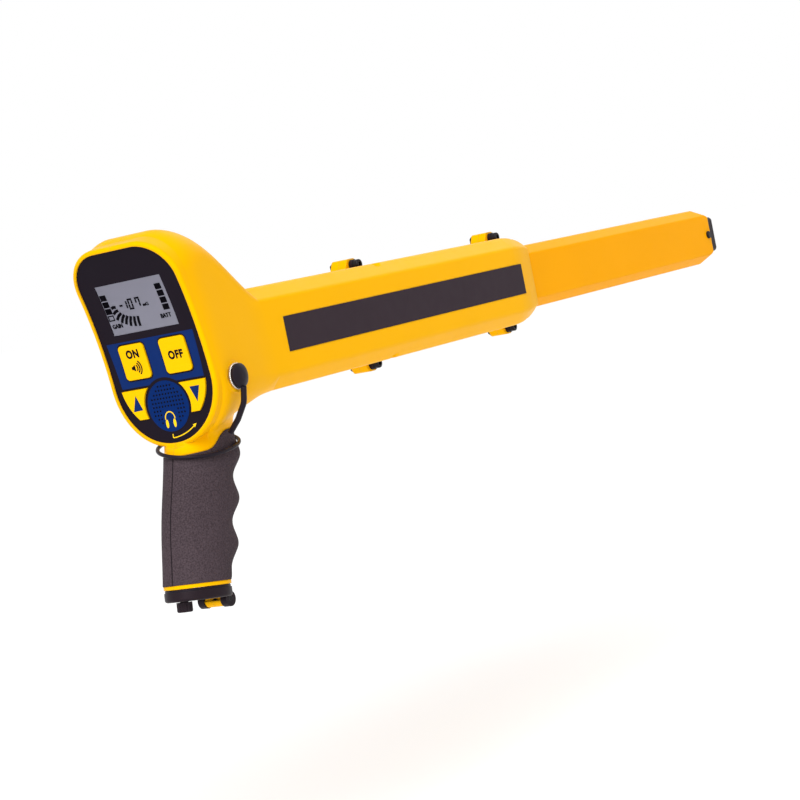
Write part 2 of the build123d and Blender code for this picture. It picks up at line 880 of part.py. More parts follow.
def pieces():
    solid = housing()
    grip = grip_rubber()
    named = {
        "right_shell": solid & half_space(-1),
        "left_shell": solid & half_space(1),
        "right_grip": grip & half_space(-1),
        "left_grip": grip & half_space(1),
        "face_panel": face_panel(),
        "display_window": display_window(),
        "display_module": display_module(),
        "speaker_disc": speaker_disc(),
        "speaker": speaker(),
        "main_board": main_board(),
        "headphone_jack": headphone_jack(),
        "jack_nut": jack_nut(),
        "jack_cap": jack_cap() + cap_strap(),
        "tether_ring": tether_ring(),
        "sensor_tube": sensor_tube(),
        "tube_end_cap": tube_end_cap(),
        "end_cap_screws": end_cap_screws(),
        "tube_slider": tube_slider(),
        "mouth_bush": mouth_bush(),
        "wiper_seal": wiper_seal(),
        "front_sensor": sensor(tube_front - tip_slope_length - front_sensor_gap - sensor_length),
        "rear_sensor": sensor(tube_rear + rear_sensor_gap),
        "lug_screws": lug_screws(),
        "lug_collars": lug_collars(),
        "lug_nuts": lug_nuts(),
        "arm_label": arm_label(),
        "battery_cells": battery_cells(),
        "battery_contacts": battery_contacts(),
        "battery_door": battery_door(),
        "door_seal": door_seal(),
        "door_knob": door_knob(),
        "hinge_pin": hinge_pin(),
    }
    for name in ("key_on", "key_off", "key_up", "key_down"):
        named[name] = key(name)
    return named


def main():
    os.makedirs("parts", exist_ok=True)
    for name, solid in pieces().items():
        export_step(Location(-grip_middle) * solid, f"parts/{name}.step")


main()
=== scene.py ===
import math

import bmesh
import bpy
import numpy as np
from mathutils import Matrix, Vector


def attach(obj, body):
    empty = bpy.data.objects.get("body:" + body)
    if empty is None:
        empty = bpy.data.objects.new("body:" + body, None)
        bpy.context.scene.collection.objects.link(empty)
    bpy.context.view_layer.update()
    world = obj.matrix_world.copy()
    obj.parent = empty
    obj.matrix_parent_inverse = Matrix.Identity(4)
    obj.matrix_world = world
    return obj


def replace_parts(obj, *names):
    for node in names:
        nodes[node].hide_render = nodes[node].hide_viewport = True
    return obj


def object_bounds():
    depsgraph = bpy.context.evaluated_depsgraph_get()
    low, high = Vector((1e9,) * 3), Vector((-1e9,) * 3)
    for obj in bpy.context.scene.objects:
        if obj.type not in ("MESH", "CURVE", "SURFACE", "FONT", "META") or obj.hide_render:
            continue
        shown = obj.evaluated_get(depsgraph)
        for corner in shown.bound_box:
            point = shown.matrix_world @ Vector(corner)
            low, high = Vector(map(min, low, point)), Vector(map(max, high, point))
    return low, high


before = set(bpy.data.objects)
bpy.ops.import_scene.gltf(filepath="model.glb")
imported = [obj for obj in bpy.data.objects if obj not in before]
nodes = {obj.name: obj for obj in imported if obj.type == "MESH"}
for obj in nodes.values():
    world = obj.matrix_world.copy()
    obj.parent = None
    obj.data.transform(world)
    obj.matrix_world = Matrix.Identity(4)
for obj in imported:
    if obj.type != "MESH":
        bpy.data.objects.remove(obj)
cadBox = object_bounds()
mm = 0.001
print("frame loaded,", len(nodes), "nodes")


# shader groups that several materials share
def newGroup(name, ins, outs):
    group = bpy.data.node_groups.new(name, "ShaderNodeTree")
    for label, kind, start in ins:
        socket = group.interface.new_socket(label, in_out="INPUT", socket_type=kind)
        socket.default_value = start
    for label, kind in outs:
        group.interface.new_socket(label, in_out="OUTPUT", socket_type=kind)
    first = group.nodes.new("NodeGroupInput")
    last = group.nodes.new("NodeGroupOutput")
    return group, first, last


def addNode(tree, kind, links=(), **values):
    node = tree.nodes.new(kind)
    for label, value in values.items():
        setattr(node, label, value)
    for socket, source in links:
        if hasattr(source, "is_output"):
            tree.links.new(source, node.inputs[socket])
        else:
            node.inputs[socket].default_value = source
    return node


moulding = dict(
    cloud=(22.0, 3.0),  # scale and detail of the slow change of colour
    smudge=(140.0, 4.0),  # scale and detail of the change of gloss
    fineDetail=2.0,
    middle=(0.3, 0.7),  # the part of a noise's range that is used
    edgeTurn=(0.995, 0.86),  # how far the softened normal leans where an edge begins and is full
    edgeSamples=6,
)


def grainGroup():
    ins = [
        ("Colour", "NodeSocketColor", (1, 1, 1, 1)),
        ("Colour Change", "NodeSocketFloat", 0.05),
        ("Speckle", "NodeSocketFloat", 0.0),
        ("Grain Scale", "NodeSocketFloat", 2500),
        ("Grain Depth", "NodeSocketFloat", 0.00002),
        ("Rough Low", "NodeSocketFloat", 0.35),
        ("Rough High", "NodeSocketFloat", 0.5),
        ("Edge Radius", "NodeSocketFloat", 0.0008),
    ]
    outs = [
        ("Colour", "NodeSocketColor"),
        ("Roughness", "NodeSocketFloat"),
        ("Normal", "NodeSocketVector"),
        ("Edge", "NodeSocketFloat"),
    ]
    group, first, last = newGroup("mouldedGrain", ins, outs)
    given = first.outputs
    place = addNode(group, "ShaderNodeTexCoord").outputs["Object"]

    def noise(scale, detail):
        links = [("Vector", place), ("Scale", scale), ("Detail", detail)]
        return addNode(group, "ShaderNodeTexNoise", links).outputs[0]

    def spread(source, span, low, high):
        links = [(0, source), (1, span[0]), (2, span[1]), (3, low), (4, high)]
        return addNode(group, "ShaderNodeMapRange", links).outputs[0]

    def scaledSum(source, factor, base):
        links = [(0, source), (1, factor), (2, base)]
        return addNode(group, "ShaderNodeMath", links, operation="MULTIPLY_ADD").outputs[0]

    fine = noise(given["Grain Scale"], moulding["fineDetail"])
    cloud = noise(*moulding["cloud"])
    smudge = noise(*moulding["smudge"])
    soft = addNode(
        group,
        "ShaderNodeBevel",
        [("Radius", given["Edge Radius"])],
        samples=moulding["edgeSamples"],
    ).outputs["Normal"]
    true = addNode(group, "ShaderNodeNewGeometry").outputs["Normal"]
    lean = addNode(group, "ShaderNodeVectorMath", [(0, soft), (1, true)], operation="DOT_PRODUCT")
    edge = spread(lean.outputs["Value"], moulding["edgeTurn"], 0.0, 1.0)
    bump = addNode(
        group,
        "ShaderNodeBump",
        [("Strength", 1.0), ("Distance", given["Grain Depth"]), ("Height", fine), ("Normal", soft)],
    )
    clouded = scaledSum(spread(cloud, moulding["middle"], -1.0, 1.0), given["Colour Change"], 1.0)
    dotted = scaledSum(spread(fine, moulding["middle"], -1.0, 1.0), given["Speckle"], clouded)
    tinted = addNode(
        group,
        "ShaderNodeVectorMath",
        [(0, given["Colour"]), ("Scale", dotted)],
        operation="SCALE",
    )
    rough = spread(smudge, moulding["middle"], given["Rough Low"], given["Rough High"])
    group.links.new(tinted.outputs[0], last.inputs["Colour"])
    group.links.new(rough, last.inputs["Roughness"])
    group.links.new(bump.outputs[0], last.inputs["Normal"])
    group.links.new(edge, last.inputs["Edge"])
    return group


def seamGroup():
    ins = [("Half Width", "NodeSocketFloat", 0.0003)]
    group, first, last = newGroup("partingLine", ins, [("Line", "NodeSocketFloat")])
    place = addNode(group, "ShaderNodeTexCoord").outputs["Object"]
    split = addNode(group, "ShaderNodeSeparateXYZ", [(0, place)])
    away = addNode(group, "ShaderNodeMath", [(0, split.outputs["Y"])], operation="ABSOLUTE")
    line = addNode(  # the halves meet at y = 0
        group,
        "ShaderNodeMapRange",
        [(0, away.outputs[0]), (1, 0.0), (2, first.outputs["Half Width"]), (3, 1.0), (4, 0.0)],
    )
    group.links.new(line.outputs[0], last.inputs["Line"])
    return group


grain = grainGroup()
seam = seamGroup()
seamColour = (0.004, 0.003, 0.004, 1)


def material(name, look):
    finish = bpy.data.materials.new(name)
    finish.use_nodes = True
    tree = finish.node_tree
    tree.nodes.clear()
    skin = tree.nodes.new("ShaderNodeBsdfPrincipled")
    out = tree.nodes.new("ShaderNodeOutputMaterial")
    tree.links.new(skin.outputs[0], out.inputs["Surface"])
    body = tree.nodes.new("ShaderNodeGroup")
    body.node_tree = grain
    body.inputs["Colour"].default_value = (*look["colour"], 1)
    body.inputs["Colour Change"].default_value = look.get("change", 0.04)
    body.inputs["Speckle"].default_value = look.get("speckle", 0)
    body.inputs["Grain Scale"].default_value = look["grainScale"]
    body.inputs["Grain Depth"].default_value = look["grainDepth"] * mm
    body.inputs["Rough Low"].default_value = look["rough"][0]
    body.inputs["Rough High"].default_value = look["rough"][1]
    body.inputs["Edge Radius"].default_value = look.get("edgeRadius", 0.3) * mm
    worn = addNode(
        tree,
        "ShaderNodeMix",
        [(0, body.outputs["Edge"]), (6, body.outputs["Colour"]), (7, (*look["edge"], 1))],
        data_type="RGBA",
    )
    paint = worn
    if "seam" in look:
        parting = tree.nodes.new("ShaderNodeGroup")
        parting.node_tree = seam
        parting.inputs["Half Width"].default_value = look["seam"] * mm
        paint = addNode(
            tree,
            "ShaderNodeMix",
            [(0, parting.outputs["Line"]), (6, worn.outputs[2]), (7, seamColour)],
            data_type="RGBA",
        )
    tree.links.new(paint.outputs[2], skin.inputs["Base Color"])
    tree.links.new(body.outputs["Roughness"], skin.inputs["Roughness"])
    tree.links.new(body.outputs["Normal"], skin.inputs["Normal"])
    skin.inputs["Metallic"].default_value = look.get("metal", 0)
    skin.inputs["Specular IOR Level"].default_value = look.get("specular", 0.06)
    skin.inputs["Specular Tint"].default_value = (*look.get("tint", (1, 1, 1)), 1)
    return finish


looks = {  # grain depth, edge radius and seam in millimetres
    "housing_yellow": dict(
        colour=(0.95, 0.465, 0.0), edge=(0.95, 0.5, 0.01), change=0.015,
        grainScale=2600, grainDepth=0.01, rough=(0.32, 0.4), edgeRadius=1.2,
        specular=0.05, tint=(1, 0.72, 0.08),
    ),
    "tube_yellow": dict(
        colour=(0.94, 0.385, 0.0), edge=(0.95, 0.45, 0.01), change=0.015,
        grainScale=1500, grainDepth=0.006, rough=(0.3, 0.38), edgeRadius=1.2,
        specular=0.02, tint=(1, 0.72, 0.08),
    ),
    "grip_rubber": dict(
        colour=(0.058, 0.042, 0.049), edge=(0.062, 0.046, 0.053), change=0.08, speckle=0.3,
        grainScale=1300, grainDepth=0.12, rough=(0.5, 0.65), edgeRadius=0.5, seam=0.5,
        specular=0.02,
    ),
    "panel_black": dict(
        colour=(0.009, 0.0055, 0.0105), edge=(0.025, 0.018, 0.027),
        grainScale=4000, grainDepth=0.006, rough=(0.4, 0.5), edgeRadius=0.2,
    ),
    "speaker_blue": dict(
        colour=(0.0, 0.017, 0.115), edge=(0.004, 0.04, 0.2),
        grainScale=3500, grainDepth=0.006, rough=(0.4, 0.5), edgeRadius=0.1,
    ),
    "key_yellow": dict(
        colour=(0.9, 0.5, 0.0), edge=(0.9, 0.52, 0.01), change=0.015,
        grainScale=3500, grainDepth=0.006, rough=(0.36, 0.46), edgeRadius=0.2,
        tint=(1, 0.9, 0.4),
    ),
    "display_grey": dict(
        colour=(0.36, 0.355, 0.42), edge=(0.36, 0.355, 0.42),
        grainScale=5000, grainDepth=0.002, rough=(0.5, 0.6), edgeRadius=0,
    ),
    "board_green": dict(
        colour=(0.01, 0.09, 0.03), edge=(0.2, 0.17, 0.08),
        grainScale=2000, grainDepth=0.01, rough=(0.3, 0.5),
    ),
    "black_plastic": dict(
        colour=(0.013, 0.008, 0.011), edge=(0.03, 0.025, 0.028), change=0.1,
        grainScale=2500, grainDepth=0.012, rough=(0.34, 0.48), edgeRadius=0.3,
        specular=0.12, tint=(1, 0.85, 0.95),
    ),
    "black_steel": dict(
        colour=(0.02, 0.018, 0.02), edge=(0.08, 0.075, 0.078),
        grainScale=3000, grainDepth=0.006, rough=(0.25, 0.4), edgeRadius=0.15, metal=0.6,
    ),
    "bright_steel": dict(
        colour=(0.62, 0.6, 0.57), edge=(0.75, 0.73, 0.7),
        grainScale=3000, grainDepth=0.004, rough=(0.2, 0.35), edgeRadius=0.15, metal=1.0,
    ),
    "cap_rubber": dict(
        colour=(0.012, 0.009, 0.014), edge=(0.022, 0.019, 0.023), change=0.1,
        grainScale=2500, grainDepth=0.02, rough=(0.34, 0.46), edgeRadius=0.3,
        specular=0.12, tint=(1, 0.85, 0.95),
    ),
    "coil_copper": dict(
        colour=(0.5, 0.2, 0.07), edge=(0.6, 0.3, 0.12),
        grainScale=3000, grainDepth=0.01, rough=(0.3, 0.45), metal=1.0,
    ),
    "cell_jacket": dict(
        colour=(0.03, 0.03, 0.04), edge=(0.3, 0.2, 0.1),
        grainScale=2500, grainDepth=0.004, rough=(0.3, 0.4),
    ),
    "label_black": dict(
        colour=(0.032, 0.02, 0.027), edge=(0.045, 0.032, 0.04),
        grainScale=3500, grainDepth=0.008, rough=(0.42, 0.52), edgeRadius=0.1,
    ),
    "print_black": dict(
        colour=(0.004, 0.003, 0.006), edge=(0.004, 0.003, 0.006),
        grainScale=5000, grainDepth=0.002, rough=(0.6, 0.7), edgeRadius=0, specular=0.05,
    ),
    "print_blue": dict(
        colour=(0.0, 0.017, 0.115), edge=(0.0, 0.017, 0.115),
        grainScale=5000, grainDepth=0.002, rough=(0.45, 0.55), edgeRadius=0, specular=0.1,
    ),
    "print_yellow": dict(
        colour=(0.93, 0.6, 0.01), edge=(0.93, 0.6, 0.01),
        grainScale=5000, grainDepth=0.002, rough=(0.45, 0.55), edgeRadius=0,
    ),
}
finishes = {name: material(name + "_look", look) for name, look in looks.items()}

window = dict(tint=(0.96, 0.96, 0.97, 1), hazeScale=300.0, rough=(0.06, 0.14), ior=1.3, glintFrom=0.03)


def clearWindow():
    glass = bpy.data.materials.new("window_clear_look")
    glass.use_nodes = True
    tree = glass.node_tree
    tree.nodes.clear()
    out = tree.nodes.new("ShaderNodeOutputMaterial")
    through = addNode(tree, "ShaderNodeBsdfTransparent", [("Color", window["tint"])])
    place = addNode(tree, "ShaderNodeTexCoord").outputs["Object"]
    haze = addNode(tree, "ShaderNodeTexNoise", [("Vector", place), ("Scale", window["hazeScale"])])
    low, high = window["rough"]
    rough = addNode(tree, "ShaderNodeMapRange", [(0, haze.outputs[0]), (3, low), (4, high)])
    shine = addNode(tree, "ShaderNodeBsdfGlossy", [("Roughness", rough.outputs[0])])
    facing = addNode(tree, "ShaderNodeFresnel", [("IOR", window["ior"])])
    glint = addNode(  # coated: nothing is mirrored face on
        tree,
        "ShaderNodeMapRange",
        [(0, facing.outputs[0]), (1, window["glintFrom"]), (2, 1.0)],
    )
    mixed = addNode(
        tree,
        "ShaderNodeMixShader",
        [(0, glint.outputs[0]), (1, through.outputs[0]), (2, shine.outputs[0])],
    )
    tree.links.new(mixed.outputs[0], out.inputs["Surface"])
    return glass


finishes["window_clear"] = clearWindow()
for name, node in nodes.items():
    for held in node.material_slots:
        if held.material.name in finishes:
            wanted = "black_steel" if name == "hinge_pin" else held.material.name  # the pin is blackened
            held.material = finishes[wanted]
print("materials made:", len(finishes))


# flat print and thin film pieces, drawn in millimetres on the panel (x to the viewer's right, y up
# from the display's middle), then laid on its dished face
face = dict(tilt=10.4, x=-12.5, z=108.4, bend=202.0, middle=-21.0, slice=1.0)
inkThick = 0.04
tilt = math.radians(face["tilt"])
panelPlace = Matrix(
    (
        (0, -math.sin(tilt), -math.cos(tilt), face["x"]),
        (-1, 0, 0, 0),
        (0, math.cos(tilt), -math.sin(tilt), face["z"]),
        (0, 0, 0, 1),
    )
)


def readSpots(mesh):
    spots = np.empty(3 * len(mesh.vertices))
    mesh.vertices.foreach_get("co", spots)
    return spots.reshape(-1, 3)


# cut across at even heights, so that the piece can follow the dish
def sliced(mesh):
    heights = readSpots(mesh)[:, 1]
    cut = bmesh.new()
    cut.from_mesh(mesh)
    for level in np.arange(heights.min() + face["slice"], heights.max(), face["slice"]):
        whole = cut.verts[:] + cut.edges[:] + cut.faces[:]
        bmesh.ops.bisect_plane(cut, geom=whole, plane_co=(0, level, 0), plane_no=(0, 1, 0))
    cut.to_mesh(mesh)
    cut.free()
    return mesh


# a roll of the face's radius lies on the panel: the height gives the angle round the roll, and a
# lifted point lies that much nearer its axis
def dished(spots):
    turn = np.arcsin((spots[:, 1] - face["middle"]) / face["bend"])
    reach = face["bend"] - spots[:, 2]
    return np.c_[
        spots[:, 0],
        face["middle"] + reach * np.sin(turn),
        face["bend"] - reach * np.cos(turn),
    ]


def curveMesh(curve, lift):
    holder = bpy.data.objects.new("holder", curve)
    bpy.context.collection.objects.link(holder)
    ready = holder.evaluated_get(bpy.context.evaluated_depsgraph_get())
    mesh = bpy.data.meshes.new_from_object(ready)
    bpy.data.objects.remove(holder)
    mesh.transform(Matrix.Translation((0, 0, lift)))
    return mesh


# outlines filled flat, the inner ones as holes
def flatMesh(outlines, lift, thick=inkThick):
    curve = bpy.data.curves.new("flat", "CURVE")
    curve.dimensions = "2D"
    curve.fill_mode = "BOTH"
    curve.extrude = thick / 2
    for outline in outlines:
        line = np.asarray(outline, float)
        spline = curve.splines.new("POLY")
        spline.points.add(len(line) - 1)
        spline.points.foreach_set("co", np.c_[line, np.zeros(len(line)), np.ones(len(line))].ravel())
        spline.use_cyclic_u = True
    return curveMesh(curve, lift)


def textMesh(words, at, lift, size, fat, narrow=1.0, spacing=1.0):
    curve = bpy.data.curves.new("words", "FONT")
    curve.body = words
    curve.size = size
    curve.align_x = "CENTER"
    curve.align_y = "CENTER"
    curve.offset = fat
    curve.space_character = spacing
    curve.extrude = inkThick / 2
    mesh = curveMesh(curve, lift)
    mesh.transform(Matrix.Translation((*at, 0)) @ Matrix.Diagonal((narrow, 1, 1, 1)))
    return mesh


def addPiece(name, mesh, finish, body):
    mesh.materials.append(finishes[finish])
    piece = bpy.data.objects.new(name, mesh)
    bpy.context.collection.objects.link(piece)
    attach(piece, body)
    return piece


def panelPiece(name, meshes, finish, body):
    joined = bmesh.new()
    for mesh in meshes:
        joined.from_mesh(sliced(mesh))
    laid = bpy.data.meshes.new(name)
    joined.to_mesh(laid)
    joined.free()
    laid.vertices.foreach_set("co", dished(readSpots(laid)).ravel())
    laid.transform(Matrix.Scale(mm, 4) @ panelPlace)
    laid.shade_flat()
    addPiece(name, laid, finish, body)


# x + radius * cos, y + radius * sin over a full turn; an oval where a height is given
def circle(x, y, radius, count=24, height=None):
    turn = np.linspace(0, 2 * math.pi, count, endpoint=False)
    return np.c_[x + radius * np.cos(turn), y + (height or radius) * np.sin(turn)]


# the same over part of a turn, in degrees
def arc(x, y, radius, start, end, count=20, height=None):
    turn = np.radians(np.linspace(start, end, count))
    return np.c_[x + radius * np.cos(turn), y + (height or radius) * np.sin(turn)]


def box(x, y, wide, high):
    return np.array([(x, y), (x + wide, y), (x + wide, y + high), (x, y + high)])


# four quarter circles about the corners' middles, each a quarter turn on
def roundedBox(x, y, wide, high, radius, count=7):
    right, top = x + wide - radius, y + high - radius
    left, bottom = x + radius, y + radius
    middles = [(right, top), (left, top), (left, bottom), (right, bottom)]
    return np.vstack(
        [arc(*middle, radius, 90 * k, 90 * k + 90, count) for k, middle in enumerate(middles)]
    )


# a band of even width along a line: each point moved both ways along its own normal
def stroke(points, width):
    line = np.asarray(points, float)
    ahead = np.gradient(line, axis=0)
    side = np.c_[-ahead[:, 1], ahead[:, 0]] / np.linalg.norm(ahead, axis=1)[:, None]
    return np.vstack([line + side * width / 2, (line - side * width / 2)[::-1]])


# heights of the printed layers above the panel's face
lifts = dict(panel=0.03, key=0.94, film=-0.3, marks=-0.26, cloth=-0.07, grille=0.04, sign=0.17)

# blue field of the panel, cut out round the two square keys and the speaker
field = dict(
    top=-16.3, topHalf=26.5, bottom=-39.15, bottomHalf=25.15,
    keyHalf=(8, 9), keyMiddle=(12.5, -26.7), keyGap=0.5, keyCorner=2.6, surround=13.9,
)
speakerAt = (0, -50.4)


def blueField():
    top, bottom, reach = field["top"], field["bottom"], field["surround"]
    edgeTurn = math.degrees(math.asin((bottom - speakerAt[1]) / reach))  # where the bite meets the edge
    bite = arc(*speakerAt, reach, 180 - edgeTurn, edgeTurn)
    corners = [
        (field["bottomHalf"], bottom),
        (field["topHalf"], top),
        (-field["topHalf"], top),
        (-field["bottomHalf"], bottom),
    ]
    outlines = [np.vstack([bite, corners])]
    half = np.array(field["keyHalf"]) + field["keyGap"]
    across, up = field["keyMiddle"]
    for side in (-1, 1):
        corner = np.array((side * across, up)) - half
        outlines.append(roundedBox(*corner, *(2 * half), field["keyCorner"]))
    plate = flatMesh(outlines, lifts["panel"])
    panelPiece("panelBlueField", [plate], "print_blue", "housing")


blueField()

# display: a grey film close behind the window, and its dark marks
film = dict(half=(19.9, 12.7))
stacks = dict(
    left=-19.7, leftTop=8.1, right=14.3, rightTop=8.7,
    wide=3.7, high=2.95, pitch=3.5, count=4, frame=0.62,
)
fan = dict(
    inner=[(-12.7, 1.1), (-12, -0.6), (-10.9, -2.1), (-9.5, -3.2),
           (-7.9, -4), (-6, -4.5), (-4.1, -4.9), (-2, -5.1)],
    outer=[(-15.6, 0.9), (-15.6, -2.1), (-14.8, -5.2), (-12.6, -7),
           (-10.4, -8.1), (-8, -9.3), (-5.2, -9.8), (-2.6, -10.1)],
    width=1.5,
    bow=(-0.15, 0.35),  # how far each bar's middle leaves the straight line
)
reading = dict(
    low=-1.0, high=3.7, wide=1.9, width=0.92, slant=0.06, gap=0.08,
    figures=[(-10.3, "g"), (-7.8, "bc"), (-4.4, "abcdef"), (0.1, "fabc")],  # place and lit bars of each
)
captions = dict(
    bold=0.13,  # each word is drawn twice, this far to either side
    words=[
        ("GAIN", (-15.9, -8.3), dict(size=3.0, fat=0.08, narrow=0.82, spacing=1.06)),
        ("BATT", (14.2, -7.5), dict(size=3.0, fat=0.08, narrow=0.82, spacing=1.06)),
        ("mG", (5.2, -0.2), dict(size=2.3, fat=0.06)),
    ],
)


# two stacks of blocks; the lowest on the left is an empty frame
def stackMarks():
    marks = []
    for k in range(stacks["count"]):
        drop = stacks["high"] + k * stacks["pitch"]
        marks.append([box(stacks["right"], stacks["rightTop"] - drop, stacks["wide"], stacks["high"])])
        block = box(stacks["left"], stacks["leftTop"] - drop, stacks["wide"], stacks["high"])
        inside = block + stacks["frame"] * np.sign(block.mean(0) - block)
        marks.append([block, inside] if k == stacks["count"] - 1 else [block])
    return marks


def fanMarks():
    marks = []
    for near, far in zip(fan["inner"], fan["outer"]):
        middle = 0.5 * (np.array(near) + far) + fan["bow"]
        marks.append([stroke([near, middle, far], fan["width"])])
    return marks


# seven bars named round from the top, a to f, with g in the middle
def figureMarks(x, lit):
    low, high, wide, gap = (reading[k] for k in ("low", "high", "wide", "gap"))
    middle = (low + high) / 2
    over = reading["width"] / 2  # the lying bars reach over the ends of the upright ones
    below, above = high - over - gap, low + over + gap
    lines = dict(
        a=[(-over, high), (wide + over, high)],
        b=[(wide, below), (wide, middle + gap)],
        c=[(wide, middle - gap), (wide, above)],
        d=[(-over, low), (wide + over, low)],
        e=[(0, middle - gap), (0, above)],
        f=[(0, below), (0, middle + gap)],
        g=[(0, middle), (wide, middle)],
    )
    marks = []
    for bar in lit:
        line = [(x + px + reading["slant"] * py, py) for px, py in lines[bar]]
        marks.append([stroke(line, reading["width"])])
    return marks


def displayPieces():
    wide, high = film["half"]
    sheet = flatMesh([box(-wide, -high, 2 * wide, 2 * high)], lifts["film"])
    panelPiece("displayFilm", [sheet], "display_grey", "housing")
    marks = stackMarks() + fanMarks()
    for x, lit in reading["figures"]:
        marks += figureMarks(x, lit)
    drawn = [flatMesh(mark, lifts["marks"]) for mark in marks]
    for shift in (-captions["bold"], captions["bold"]):
        for words, (x, y), style in captions["words"]:
            drawn.append(textMesh(words, (x + shift, y), lifts["marks"], **style))
    panelPiece("displayMarks", drawn, "print_black", "housing")


displayPieces()
print("display made")

# legends of the keys
legend = dict(size=5.4, fat=0.28, narrow=0.86, spacing=1.12)
onKey = dict(
    wordAt=(-12.2, -22.9), hornAt=(-13.4, -29.7), waves=(1.9, 3.1, 4.3), spread=50, width=0.7,
    horn=[(-1.7, 0.75), (-0.9, 0.75), (0.5, 1.75), (0.5, -1.75), (-0.9, -0.75), (-1.7, -0.75)],
)
offKey = dict(wordAt=(13, -26.8))
upKey = dict(corners=[(-17.7, -43.0), (-20.8, -50.6), (-15.0, -50.4)])
downKey = dict(corners=[(15.7, -43.0), (21.6, -43.0), (18.5, -50.6)])


def keyLegends():
    lift, spread = lifts["key"], onKey["spread"]
    signs = [np.array(onKey["horn"]) + onKey["hornAt"]]
    for radius in onKey["waves"]:
        signs.append(stroke(arc(*onKey["hornAt"], radius, -spread, spread), onKey["width"]))
    onMarks = [textMesh("ON", onKey["wordAt"], lift, **legend)]
    onMarks += [flatMesh([sign], lift) for sign in signs]
    panelPiece("onLegend", onMarks, "print_black", "on_button")
    offMarks = [textMesh("OFF", offKey["wordAt"], lift, **legend)]
    panelPiece("offLegend", offMarks, "print_black", "off_button")
    panelPiece("upMark", [flatMesh([upKey["corners"]], lift)], "print_blue", "up_button")
    panelPiece("downMark", [flatMesh([downKey["corners"]], lift)], "print_blue", "down_button")


keyLegends()

# speaker: a blue plate with rows of round holes over black cloth
grille = dict(
    radius=12.3, thick=0.2, rim=72, hole=0.57, holeSides=10, across=1.81, down=1.95,
    reach=5,  # holes and rows on either side of the middle
    straight=2,  # rows of full length on either side of the middle
    signHalf=2,  # holes left out for the sign on either side of the middle
)
cloth = dict(inset=0.3, thick=0.02, rim=48)


def speakerGrille():
    outlines = [circle(*speakerAt, grille["radius"], grille["rim"])]
    reach = grille["reach"]
    for row in range(-reach, reach + 1):
        half = reach - max(0, abs(row) - grille["straight"])
        spots = np.arange(-half, half + 1)
        if row < 0:
            spots = spots[np.abs(spots) > grille["signHalf"]]
        y = speakerAt[1] + row * grille["down"]
        for x in spots * grille["across"]:
            outlines.append(circle(x, y, grille["hole"], grille["holeSides"]))
    plate = flatMesh(outlines, lifts["grille"], grille["thick"])
    panelPiece("speakerGrille", [plate], "speaker_blue", "housing")
    rim = circle(*speakerAt, grille["radius"] - cloth["inset"], cloth["rim"])
    backing = flatMesh([rim], lifts["cloth"], cloth["thick"])
    panelPiece("speakerCloth", [backing], "print_black", "housing")


speakerGrille()

# headphone sign on the speaker: a bow over two oval pads
phones = dict(
    at=(-0.45, -56.4), half=2.85, rise=3.2, ends=(-6, 186), steps=28, width=0.55,
    pad=(0.85, 2.05), padAt=(2.3, -58.8), padSides=20,
)


def headphoneSign():
    x, y = phones["at"]
    bow = arc(x, y, phones["half"], *phones["ends"], phones["steps"], phones["rise"])
    outlines = [stroke(bow, phones["width"])]
    wide, high = phones["pad"]
    across, up = phones["padAt"]
    outlines += [circle(x + side * across, up, wide, phones["padSides"], high) for side in (-1, 1)]
    sign = [flatMesh([outline], lifts["sign"]) for outline in outlines]
    panelPiece("headphoneSign", sign, "print_yellow", "housing")


headphoneSign()

# bent arrow under the speaker: a tick, part of a circle and a head along its last step
sweep = dict(
    at=(-1.26, -39.9), radius=25.8, ends=(-89.2, -57.5), steps=30, width=0.5,
    tick=(-0.8, -63.9), head=(0.9, 2.2),
)


def sweepArrow():
    bent = arc(*sweep["at"], sweep["radius"], *sweep["ends"], sweep["steps"])
    tip = bent[-1]
    ahead = (tip - bent[-2]) / np.linalg.norm(tip - bent[-2])
    aside = np.array((-ahead[1], ahead[0]))
    half, length = sweep["head"]
    outlines = [
        stroke(bent, sweep["width"]),
        stroke([bent[0], sweep["tick"]], sweep["width"]),
        [tip + half * aside, tip - half * aside, tip + length * ahead],
    ]
    lines = [flatMesh([outline], lifts["panel"]) for outline in outlines]
    panelPiece("sweepArrow", lines, "print_yellow", "housing")


sweepArrow()
print("panel print made")

# lip of the battery door's gasket: the handle's oval drawn at five insets and depths below the foot,
# as the columns of a closed strip, left open before the hinge
lip = dict(
    x=-9.36, z=-27.5, dip=8.5, stop=7.2, steps=40,
    half=15.6, front=14.1, back=21.0, fullness=(0.58, 0.55),
    insets=(1.0, 1.0, 1.6, 2.2, 2.2), depths=(2.22, 2.0, 1.93, 2.0, 2.22),
)


# cubic Bezier quarter from the oval's tip to its side
def quarter(tip, side, full):
    t = np.linspace(0, 1, lip["steps"])[:, None]
    ends = np.array([(tip, 0), (tip, full * side), (full * tip, side), (0, side)])
    first, second = (1 - t) ** 3 * ends[0], 3 * t * (1 - t) ** 2 * ends[1]
    return first + second + 3 * t**2 * (1 - t) * ends[2] + t**3 * ends[3]


# four quarters, front and back with their own reach and fullness
def handleOval(inset):
    half, front, back = lip["half"] - inset, lip["front"] - inset, inset - lip["back"]
    ahead, behind = lip["fullness"]
    return np.vstack(
        [
            quarter(front, half, ahead),
            quarter(back, half, behind)[-2::-1],
            quarter(back, -half, behind)[1:],
            quarter(front, -half, ahead)[-2::-1],
        ]
    )


